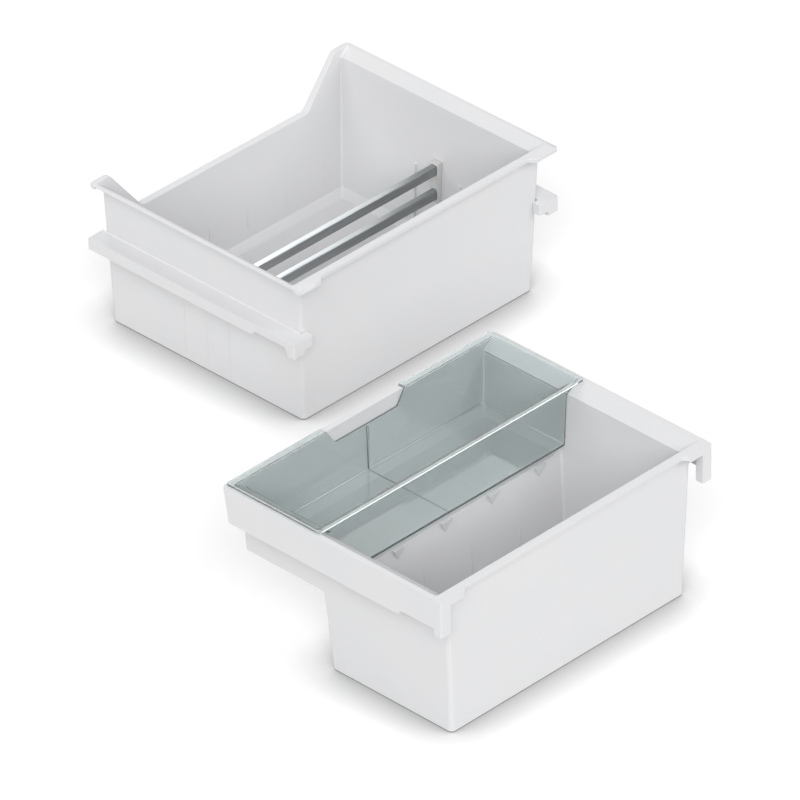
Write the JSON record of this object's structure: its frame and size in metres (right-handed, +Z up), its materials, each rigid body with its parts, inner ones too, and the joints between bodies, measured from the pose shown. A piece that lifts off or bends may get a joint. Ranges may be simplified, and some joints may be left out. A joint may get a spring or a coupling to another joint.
{
  "type": "pull-out freezer drawer set",
  "caption": "Pull-out freezer drawers: a deep one with side runners and a lift-out divider, and a stepped one with a clear sliding tray.",
  "frame": {"origin": "on the floor under the middle of the set's bounding box", "axes": "+Z up; +Y from the front drawer to the one behind it, so both drawer fronts face -Y; +X along the drawer fronts, to the right when facing them"},
  "size_m": [0.8688, 1.0002, 0.2218],
  "materials": {
    "white_plastic": "satin moulded",
    "runner_plastic": "satin moulded",
    "brushed_trim": "brushed, dark",
    "post_plastic": "satin moulded",
    "clear_plastic": "clear, grey-green tint"
  },
  "bodies": {
    "bins": {"upper_bin": "white_plastic", "upper_runner_left": "runner_plastic", "upper_runner_right": "runner_plastic", "lower_bin": "white_plastic"},
    "divider": {"divider_top_bar": "brushed_trim", "divider_bottom_bar": "brushed_trim", "divider_end_left": "post_plastic", "divider_end_right": "post_plastic"},
    "tray": {"tray": "clear_plastic"}
  },
  "joints": [
    {"name": "divider_lift", "type": "slide", "parent": "bins", "child": "divider", "axis": [0, 0, 1], "range_m": [0, 0.04]},
    {"name": "tray_slide", "type": "slide", "parent": "bins", "child": "tray", "axis": [0, -1, 0], "range_m": [0, 0.19]}
  ]
}
